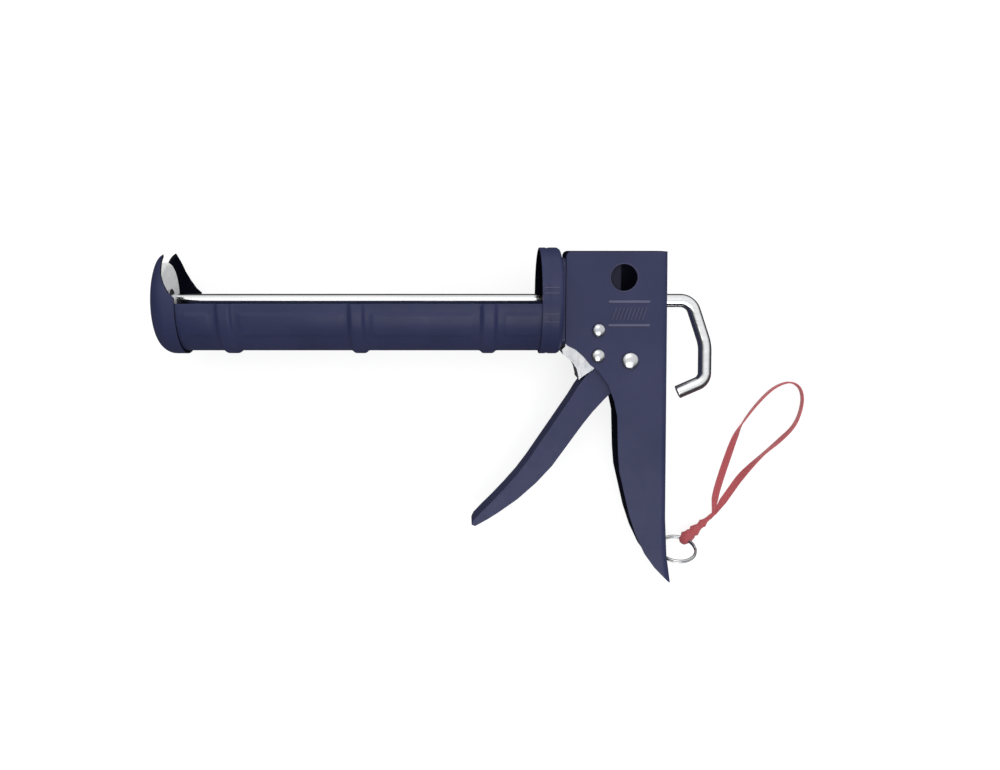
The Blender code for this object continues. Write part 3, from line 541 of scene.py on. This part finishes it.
def paint_inner_shade(piece, is_inside):
    """Gives the near-black enamel, a painted shade, to the faces whose centre, in gun axes, is inside."""
    back = GUN.inverted()
    piece.data.materials.append(ENAMEL_INNER_SHADE)
    count = 0
    for face in piece.data.polygons:
        if is_inside(back @ face.center, back.to_3x3() @ face.normal):
            face.material_index = 1
            count += 1
    print(piece.name, "inside faces:", count)


def arc(centre, radius, start, stop, count):
    """Points of an arc in the plane of u and v."""
    angles = [math.radians(start + (stop - start) * k / count) for k in range(count + 1)]
    return [(centre[0] + radius * math.cos(a), centre[1] + radius * math.sin(a)) for a in angles]


def in_plane(points):
    """Points of u and v, closed back to the first, in the plane w = 0."""
    closed = [*points, points[0]]
    return [(u, v, 0) for u, v in closed]


# %% [markdown]
# ## Trough
#
# The trough is one sheet rolled to a half pipe. Three ribs are pressed across it, and a long shallow
# panel is pressed between them on each flank. The wall's outline is traced with soft shoulders at
# each rib and spun by half a turn. The panels are then pushed out by moving their part of the wall,
# because a press moves both faces of the sheet together.

# %% Trough
TROUGH_RADIUS = 29.9 * MM
TROUGH_SHEET = 1.0 * MM
BARREL_FRONT = -232.8 * MM
TROUGH_REAR = -7.3 * MM
RIBS = (-199 * MM, -123 * MM, -47 * MM)
RIB_STEPS = ((-5.6, 0.0), (-5.0, 0.12), (-4.3, 0.6), (-3.6, 1.25), (-2.9, 1.62), (-2.2, 1.7))
PANEL_PRESS = 0.7 * MM
PANEL_EDGES = (11.0, 39.0)
PANEL_INSET = 9 * MM
PANEL_SHOULDER = 1.2 * MM


def panel_marks():
    """Start and end of each long panel along the trough."""
    stops = [BARREL_FRONT + 2 * MM, *RIBS, TROUGH_REAR - 2 * MM]
    return [(a + PANEL_INSET, b - PANEL_INSET) for a, b in zip(stops, stops[1:])]


def trough_wall():
    """Outer line of the wall along the trough, as (u, radius)."""
    line = [(BARREL_FRONT + GAP, TROUGH_RADIUS)]
    for rib in RIBS:
        rise = [(rib + u * MM, TROUGH_RADIUS + h * MM) for u, h in RIB_STEPS]
        fall = [(rib - u * MM, TROUGH_RADIUS + h * MM) for u, h in reversed(RIB_STEPS)]
        line += rise + fall
    line.append((TROUGH_REAR, TROUGH_RADIUS))
    for start, end in panel_marks():
        line += [(u, TROUGH_RADIUS) for u in (start, start + PANEL_SHOULDER, end - PANEL_SHOULDER, end)]
    return sorted(line)


wall = trough_wall()
inside = [(u, r - TROUGH_SHEET) for u, r in reversed(wall)]
trough = spun("trough", [(u, 0, r) for u, r in [*wall, *inside, wall[0]]], steps=90, sweep=180)
edit(trough)
bpy.ops.mesh.fill_holes(sides=0)
bpy.ops.mesh.normals_make_consistent(inside=False)
bpy.ops.object.mode_set(mode="OBJECT")
upside_down = sum(v.co.y for v in trough.data.vertices) > 0
if upside_down:
    trough.data.transform(Matrix.Rotation(math.pi, 4, "X"))
for vertex in trough.data.vertices:
    u, v, w = vertex.co
    below = math.degrees(math.atan2(-v, abs(w)))
    pressed = any(a + MM < u < b - MM for a, b in panel_marks())
    if pressed and PANEL_EDGES[0] < below < PANEL_EDGES[1]:
        reach = math.hypot(v, w)
        vertex.co.y *= (reach + PANEL_PRESS) / reach
        vertex.co.z *= (reach + PANEL_PRESS) / reach
soften(trough, 0.3 * MM, limit=60)
place(trough, "frame", "navy_paint", ENAMEL, ["barrel_trough"])

# %% [markdown]
# ## Front cap and rear cup
#
# Both are round pressings, so both are spun. The cap then loses its nozzle slot, a U that is open
# at the top, and the tapered gap behind its two ears.

# %% Front cap
DOME_CORNER = 9.5 * MM
CUP_SHEET = 1.5 * MM
CAP_SKIRT = 6.3 * MM
SLOT_HALF = 13 * MM
EAR_TAPER = ((12.0, -1.0), (6.3, -1.0), (6.3, 3.2), (3.4, 5.8), (0.2, 11.0), (-2.1, 16.4), (-3.8, 25.5),
             (-4.2, 36.0), (12.0, 36.0))
corner = (BARREL_FRONT, CUP_RADIUS - DOME_CORNER)
skirt = BARREL_FRONT + CAP_SKIRT
cap_outside = [(skirt, CUP_RADIUS), *arc(corner, DOME_CORNER, 90, 180, 14), (CAP_FACE, 0)]
cap_inside = [(CAP_FACE + CUP_SHEET, 0), *arc(corner, DOME_CORNER - CUP_SHEET, 180, 90, 14),
              (skirt, CUP_RADIUS - CUP_SHEET)]
cap = spun("cap", in_plane([*cap_outside, *cap_inside]), steps=128)
slot_line = [(-SLOT_HALF, 60 * MM), *arc((0, 0), SLOT_HALF, 180, 360, 28), (SLOT_HALF, 60 * MM)]
slot_points = [(CAP_FACE - 3 * MM, v, w) for w, v in [*slot_line, slot_line[0]]]
cut_away(cap, plate("slot_cutter", slot_points, (60 * MM, 0, 0)))
taper_points = [(BARREL_FRONT + u * MM, v * MM, -50 * MM) for u, v in [*EAR_TAPER, EAR_TAPER[0]]]
cut_away(cap, plate("taper_cutter", taper_points, (0, 0, 100 * MM)))
tidy(cap)
soften(cap, 0.35 * MM, limit=50)
place(cap, "frame", "navy_paint", ENAMEL, ["front_cap"])
# The inside of the cap gets near-black enamel as painted shade.
paint_inner_shade(cap, lambda spot, normal: normal.y * spot.y + normal.z * spot.z < -0.2 * MM or normal.x > 0.7)

# %% Rear cup
CUP_FRONT = -16.5 * MM
CUP_BACK = -4.0 * MM
CUP_CORNER = 3.0 * MM
ROD_HOLE = 4.4 * MM
corner = (CUP_BACK - CUP_CORNER, CUP_RADIUS - CUP_CORNER)
cup_outside = [(CUP_FRONT, CUP_RADIUS), (CUP_FRONT + 3.4 * MM, CUP_RADIUS),
               (CUP_FRONT + 4.0 * MM, CUP_RADIUS - 0.3 * MM), (CUP_FRONT + 5.0 * MM, CUP_RADIUS - 0.3 * MM),
               (CUP_FRONT + 5.6 * MM, CUP_RADIUS), *arc(corner, CUP_CORNER, 90, 0, 8), (CUP_BACK, ROD_HOLE)]
cup_inside = [(CUP_BACK - CUP_SHEET, ROD_HOLE), *arc(corner, CUP_CORNER - CUP_SHEET, 0, 90, 8),
              (CUP_FRONT, CUP_RADIUS - CUP_SHEET)]
cup = spun("cup", in_plane([*cup_outside, *cup_inside]), steps=128)
soften(cup, 0.3 * MM, limit=60)
place(cup, "frame", "navy_paint", ENAMEL, ["rear_cup"])
# The inside of the cup gets near-black enamel as painted shade.
paint_inner_shade(cup, lambda spot, normal: (spot.x < CUP_BACK - MM
                                       and math.hypot(spot.y, spot.z) < CUP_RADIUS - MM))

# %% Crimp ridges on the cup
RIDGE_TILTS = (-17.1, -11.3, 10.2, 18.8)
RIDGE_CORNERS = ((-15.6, -0.45), (-6.8, -0.45), (-6.8, 0.45), (-15.6, 0.45), (-15.6, -0.45))
RIDGE_SUNK = 0.3 * MM
RIDGE_DEPTH = 0.6 * MM
ridges = []
for tilt in RIDGE_TILTS:
    ridge_points = [(u * MM, v * MM, CUP_RADIUS - RIDGE_SUNK) for u, v in RIDGE_CORNERS]
    ridge = plate("crimp_ridge", ridge_points, (0, 0, RIDGE_DEPTH))
    soften(ridge, 0.25 * MM, limit=60)
    ridge.data.transform(Matrix.Rotation(math.radians(tilt), 4, "X"))
    ridges.append(ridge)
only(ridges[0])
for ridge in ridges[1:]:
    ridge.select_set(True)
bpy.ops.object.join()
ridges[0].name = "cup_crimp_ridges"
# The crimp ridges get a lighter enamel as a painted highlight.
place(ridges[0], "frame", "navy_paint", ENAMEL_EDGE_HIGHLIGHT)

# %% [markdown]
# ## Folded sheets
#
# The body, the trigger, the bracket, the guard and the nose plate have the right shape in the CAD
# model, but their edges are knife sharp. A copy of each is merged, its flat areas are made single
# faces again, and its edges are rounded a little, as a stamped and painted edge is.


# %% Copies with rounded edges
def rounded_copy(node_name, name, width, limit=40):
    """A copy of a CAD node with merged corners and rounded edges."""
    node = frame["nodes"][node_name]
    piece = bpy.data.objects.new(name, node.data.copy())
    bpy.context.scene.collection.objects.link(piece)
    only(piece)
    if piece.data.has_custom_normals:
        bpy.ops.mesh.customdata_custom_splitnormals_clear()
    edit(piece)
    bpy.ops.mesh.remove_doubles(threshold=0.002 * MM)
    bpy.ops.mesh.dissolve_limited(angle_limit=math.radians(1))
    bpy.ops.object.mode_set(mode="OBJECT")
    soften(piece, width, limit)
    return piece


# The bracket's darker enamel is painted shade where it shows through the hang hole.
SHEETS = (("body_shell", "body", 0.4, "frame", "navy_paint", ENAMEL),
          ("inner_bracket", "bracket", 0.2, "frame", "navy_paint", ENAMEL_SHADED),
          ("trigger_guard", "guard", 0.2, "frame", "zinc_plate", ZINC),
          ("nose_plate", "nose", 0.35, "frame", "navy_paint", ENAMEL),
          ("trigger", "squeeze_trigger", 0.35, "trigger", "navy_paint", ENAMEL))
sheets = {}
for node_name, name, width, body, slot, finish in SHEETS:
    copy = rounded_copy(node_name, name, width * MM)
    sheets[name] = place(copy, body, slot, finish, [node_name], Matrix.Identity(4))
# The inside of the body shell gets near-black enamel as painted shade.
paint_inner_shade(sheets["body"], lambda spot, normal: abs(spot.z) < HALF_WIDTH - MM and spot.x < 57.2 * MM)

# %% [markdown]
# ## Raised marks on the side plate
#
# The side plate has two raised bars with a pattern between them, and a raised lip round the hang
# hole. Each bar and each slanted stroke is a plate with bevelled sides, made by the same function.
# The lip is a spun ring.

# %% Raised bars and strokes
BAR_RISE = 0.5 * MM
BAR_SPAN = (23.7, 48.2)
BAR_LEVELS = (0.2, -13.7)
BAR_WIDTH = 1.5
STROKE_COUNT = 9
STROKE_WIDTH = 0.9
STROKE_LEAN = 2.6


def raised_bar(name, start, end, width):
    """A low bar with bevelled sides on the side plate, from start to end in millimetres."""
    along = (Vector(end) - Vector(start)).normalized()
    side = Vector((-along.y, along.x)) * width / 2
    corners = [Vector(start) - side, Vector(end) - side, Vector(end) + side, Vector(start) + side]
    base = HALF_WIDTH - 0.1 * MM
    points = [(c.x * MM, c.y * MM, base) for c in [*corners, corners[0]]]
    bar = plate(name, points, (0, 0, BAR_RISE + 0.1 * MM))
    soften(bar, 0.28 * MM, limit=60)
    return bar


bars = [raised_bar(f"side_bar_{k}", (BAR_SPAN[0], v), (BAR_SPAN[1], v), BAR_WIDTH)
        for k, v in enumerate(BAR_LEVELS)]
for k in range(STROKE_COUNT):
    u = BAR_SPAN[0] + 2.2 + k * (BAR_SPAN[1] - BAR_SPAN[0] - 6.8) / (STROKE_COUNT - 1)
    bars.append(raised_bar(f"side_stroke_{k}", (u, -10.6), (u + STROKE_LEAN, -3.2), STROKE_WIDTH))
# The bars and strokes get lighter enamels as painted highlights.
for name, group, finish in (("side_bars", bars[:2], ENAMEL_BRIGHT_HIGHLIGHT), ("side_strokes", bars[2:], ENAMEL_EDGE_HIGHLIGHT)):
    only(group[0])
    for bar in group[1:]:
        bar.select_set(True)
    bpy.ops.object.join()
    group[0].name = name
    place(group[0], "frame", "navy_paint", finish)

# %% Lip of the hang hole
HANG_HOLE = (32.6 * MM, 14.3 * MM)
HANG_RADIUS = 7.9 * MM
lip_line = [(HANG_RADIUS, -0.5), (HANG_RADIUS, 0.18), (HANG_RADIUS + 0.25 * MM, 0.4),
            (HANG_RADIUS + 0.5 * MM, 0.4), (HANG_RADIUS + 0.8 * MM, 0.12), (HANG_RADIUS + 0.9 * MM, -0.5)]
lip_points = [(HANG_HOLE[0] + r, HANG_HOLE[1], HALF_WIDTH + h * MM) for r, h in [*lip_line, lip_line[0]]]
lip = spun("hang_hole_lip", lip_points, centre=(*HANG_HOLE, 0), axis=(0, 0, 1), steps=72)
# The lip gets a lighter enamel as a painted highlight.
place(lip, "frame", "navy_paint", ENAMEL_EDGE_HIGHLIGHT)

# %% [markdown]
# ## Rivets
#
# Each rivet goes right across the body and is domed on both sides. Its profile is traced from one
# dome to the other and spun about the rivet's own line.

# %% Rivets
RIVETS = (("frame_rivet_upper", 18.1, -16.8, 4.0, 2.0, (10.7, 3.2)),
          ("frame_rivet_lower", 18.0, -31.9, 4.0, 2.0, (10.7, 3.2)),
          ("trigger_pivot_rivet", 37.0, -34.9, 5.0, 3.0, None))
HEAD_RISE = 2.2 * MM
HEAD_WALL = 0.45 * MM
DOME_STEPS = 8
for node_name, u, v, head, shank, shoulder in RIVETS:
    seat = HALF_WIDTH + GAP
    dome = [(seat, head * MM), (seat + HEAD_WALL, head * MM)]
    for k in range(1, DOME_STEPS + 1):
        angle = math.radians(90 * k / DOME_STEPS)
        rise = HEAD_WALL + (HEAD_RISE - HEAD_WALL) * math.sin(angle)
        dome.append((seat + rise, head * MM * math.cos(angle)))
    right = [(seat, shank * MM), *dome]
    left = [(-w, r) for w, r in reversed(right)]
    middle = []
    if shoulder:
        reach, thick = shoulder[0] * MM, shoulder[1] * MM
        middle = [(-reach, shank * MM), (-reach, thick), (reach, thick), (reach, shank * MM)]
    points = [(u * MM + r, v * MM, w) for w, r in [*left, *middle, *right]]
    rivet = spun(node_name + "_dome", points, centre=(u * MM, v * MM, 0), axis=(0, 0, 1), steps=48)
    place(rivet, "frame", "zinc_plate", ZINC, [node_name], smooth=50)

# %% [markdown]
# ## Plunger and rod
#
# The plunger is a pressed disc with its rim turned forward. The rod is drawn as a line along its
# straight part and its hook, turned into a round bar, and then toothed by cutting a comb from its
# underside.

# %% Plunger disc
SHOULDER = -236.0 * MM
PLUNGER_RADIUS = 22.8 * MM
PLUNGER_SHEET = 1.2 * MM
PLUNGER_RIM = 2.8 * MM
WASHER_THICK = 0.9 * MM
rear = SHOULDER - GAP - WASHER_THICK - GAP
face = rear - PLUNGER_SHEET
corner = (rear - 2 * MM, PLUNGER_RADIUS - 2 * MM)
disc_outside = [(rear, 3.3 * MM), *arc(corner, 2 * MM, 0, 90, 8), (rear - PLUNGER_RIM, PLUNGER_RADIUS)]
disc_inside = [(rear - PLUNGER_RIM, PLUNGER_RADIUS - PLUNGER_SHEET),
               *arc(corner, 0.8 * MM, 90, 0, 8), (face, 3.3 * MM)]
disc = spun("plunger", in_plane([*disc_outside, *disc_inside]), steps=96)
# The plunger's whitened zinc is a painted reflection.
place(disc, "plunger", "zinc_plate", ZINC_PAINTED_REFLECTION, ["plunger_disc"])

# %% Route of the rod
ROD_RADIUS = 4.0 * MM
FIRST_TOOTH = -222.0 * MM
TOOTH_PITCH = 6.0 * MM
TOOTH_FACE = 0.5 * MM
TOOTH_DEPTH = 1.2 * MM
TEETH = 42
HOOK = ((-236.0, 0.0), (74.8, 0.0), (84.0, -26.5), (84.3, -48.5), (68.2, -55.6))
HOOK_BENDS = (9.0, 26.0, 7.0)


def rounded_line(points, radii, steps):
    """The points joined by straights, with an arc of the given radius at each inner corner."""
    corners = [Vector(p) for p in points]
    line = [corners[0]]
    for a, b, c, radius in zip(corners, corners[1:], corners[2:], radii):
        back, ahead = (a - b).normalized(), (c - b).normalized()
        half = back.angle(ahead) / 2
        centre = b + (back + ahead).normalized() * radius / math.sin(half)
        first = b + back * radius / math.tan(half) - centre
        last = b + ahead * radius / math.tan(half) - centre
        turn = first.angle_signed(last)
        for k in range(steps + 1):
            step = first.copy()
            step.rotate(Matrix.Rotation(-turn * k / steps, 2))
            line.append(centre + step)
    return [*line, corners[-1]]


rod_line = [(p.x * MM, p.y * MM, 0) for p in rounded_line(HOOK, HOOK_BENDS, 14)]
rod = trace("hooked_rod", rod_line)
only(rod)
bpy.ops.object.convert(target="CURVE")
rod = bpy.context.active_object
rod.data.bevel_depth = ROD_RADIUS
rod.data.bevel_resolution = 8
rod.data.use_fill_caps = True
bpy.ops.object.convert(target="MESH")
rod = bpy.context.active_object
tidy(rod)
print("rod box:", [round(c / MM, 1) for c in rod.bound_box[0]], [round(c / MM, 1) for c in rod.bound_box[6]])

# %% Teeth and spigot
comb = []
for k in range(TEETH):
    start = FIRST_TOOTH + TOOTH_FACE + k * TOOTH_PITCH
    comb.append((start - TOOTH_FACE, -ROD_RADIUS - 0.04 * MM))
    comb.append((start, -ROD_RADIUS + TOOTH_DEPTH))
comb += [(FIRST_TOOTH + TEETH * TOOTH_PITCH, -ROD_RADIUS - 0.04 * MM),
         (FIRST_TOOTH + TEETH * TOOTH_PITCH, -8 * MM), (FIRST_TOOTH, -8 * MM)]
comb_points = [(u, v, -8 * MM) for u, v in [*comb, comb[0]]]
cut_away(rod, plate("comb_cutter", comb_points, (0, 0, 16 * MM)))
soften(rod, 0.35 * MM, limit=70)
NUT_THICK = 2.4 * MM
SPIGOT_PAST = 0.6 * MM
SPIGOT_RADIUS = 3 * MM
spigot_end = face - GAP - NUT_THICK - SPIGOT_PAST
spigot_line = [(SHOULDER + MM, 0), (SHOULDER + MM, SPIGOT_RADIUS), (spigot_end + 0.5 * MM, SPIGOT_RADIUS),
               (spigot_end, 2.5 * MM), (spigot_end, 0)]
spigot = spun("spigot", [(u, v, 0) for u, v in spigot_line], steps=32)
bpy.ops.object.select_all(action="DESELECT")
spigot.select_set(True)
rod.select_set(True)
bpy.context.view_layer.objects.active = rod
bpy.ops.object.join()
rod.name = "hooked_rod"
place(rod, "rod", "bright_chrome", CHROME, ["push_rod"], smooth=30)

# %% [markdown]
# ## Split ring and knot
#
# The ring is a flat wire wound twice round. Its section is spun as a screw of two turns, and then
# the turns are pressed flat against each other, with one short crossing. The strap is tied round the
# ring, so its knot is a spun shape whose bulges are then twisted like wound cord.

# %% Split ring
RING_RADIUS = 11.4 * MM
RING_LEAN = math.radians(59.8)
RING_CENTRE = Vector((70.1 * MM + GUN_PLACE.x, -152.4 * MM + GUN_PLACE.y, 14.65 * MM))
TURN_RISE = 1.16 * MM
WIRE_WIDE = 0.75 * MM
WIRE_FLAT = 0.54 * MM
CROSS_START, CROSS_SPAN = 0.96, 0.08
ring_out = Vector((1, 0, 0))
ring_down = Vector((0, math.cos(RING_LEAN), -math.sin(RING_LEAN)))
RING_AXES = (Matrix.Translation(RING_CENTRE)
             @ Matrix((ring_out, ring_down, ring_out.cross(ring_down))).transposed().to_4x4())
section = [(RING_RADIUS + WIRE_WIDE * math.cos(a), 0, WIRE_FLAT * math.sin(a))
           for a in (2 * math.pi * k / 12 for k in range(13))]
ring = trace("double_ring", section)
tidy(ring)
screw = ring.modifiers.new("turns", "SCREW")
screw.axis = "Z"
screw.iterations = 2
screw.screw_offset = TURN_RISE
screw.steps = 72
screw.render_steps = 72
only(ring)
bpy.ops.object.modifier_apply(modifier="turns")
edit(ring)
bpy.ops.mesh.fill_holes(sides=0)
bpy.ops.object.mode_set(mode="OBJECT")
for vertex in ring.data.vertices:
    around = (math.atan2(vertex.co.y, vertex.co.x) / (2 * math.pi)) % 1.0
    turn = round(vertex.co.z / TURN_RISE - around)
    run = turn + around
    crossing = min(max((run - CROSS_START) / CROSS_SPAN, 0), 1)
    level = (crossing * crossing * (3 - 2 * crossing) - 0.5) * TURN_RISE
    vertex.co.z += level - run * TURN_RISE
tidy(ring)
place(ring, "ring", "zinc_plate", ZINC, ["split_ring"], RING_AXES, smooth=50)

# %% Knot of the strap
KNOT_ANGLE = math.radians(54)
knot_eye = RING_AXES @ Vector((RING_RADIUS * math.cos(KNOT_ANGLE), RING_RADIUS * math.sin(KNOT_ANGLE), 0))
knot_end = (strap_path[0] + strap_path[-1]) / 2
knot_end.z = 2.4 * MM
knot_way = (knot_end - knot_eye).normalized()
knot_length = (knot_end - knot_eye).length
KNOT_PROFILE = ((-0.14, 0.9), (-0.10, 2.4), (-0.03, 3.4), (0.05, 3.9), (0.13, 3.8), (0.20, 3.2), (0.25, 2.9),
                (0.31, 3.3), (0.38, 3.1), (0.43, 2.4), (0.48, 1.9), (0.54, 2.3), (0.60, 2.5), (0.66, 2.1),
                (0.71, 1.5), (0.78, 1.4), (0.86, 1.35), (0.95, 1.3), (1.03, 1.2))
knot_side = knot_way.cross(Vector((0, 0, 1))).normalized()
knot_axes = Matrix.Translation(knot_eye) @ Matrix(
    (knot_way, knot_side, knot_way.cross(knot_side))).transposed().to_4x4()
knot_line = [(KNOT_PROFILE[0][0] * knot_length, 0, 0),
             *[(part * knot_length, radius * MM, 0) for part, radius in KNOT_PROFILE],
             (KNOT_PROFILE[-1][0] * knot_length, 0, 0)]
TWIST_PER_MM = 0.9
TWO_LOBES, FIVE_LOBES = 0.09, 0.05
KNOT_FLATTEN = 0.82
knot = spun("wound_knot", knot_line, steps=40)
for vertex in knot.data.vertices:
    u, v, w = vertex.co
    twist = math.atan2(w, v) + u / MM * TWIST_PER_MM
    swell = 1 + TWO_LOBES * math.sin(2 * twist) + FIVE_LOBES * math.sin(5 * twist)
    vertex.co.y *= swell
    vertex.co.z *= KNOT_FLATTEN * swell
tidy(knot)
place(knot, "ring", "coral_webbing", YARN, ["strap_knot"], knot_axes, smooth=70)
print("knot length in mm:", round(knot_length / MM, 1), "lowest point:", round(
    min(v.co.z for v in knot.data.vertices) / MM, 2))
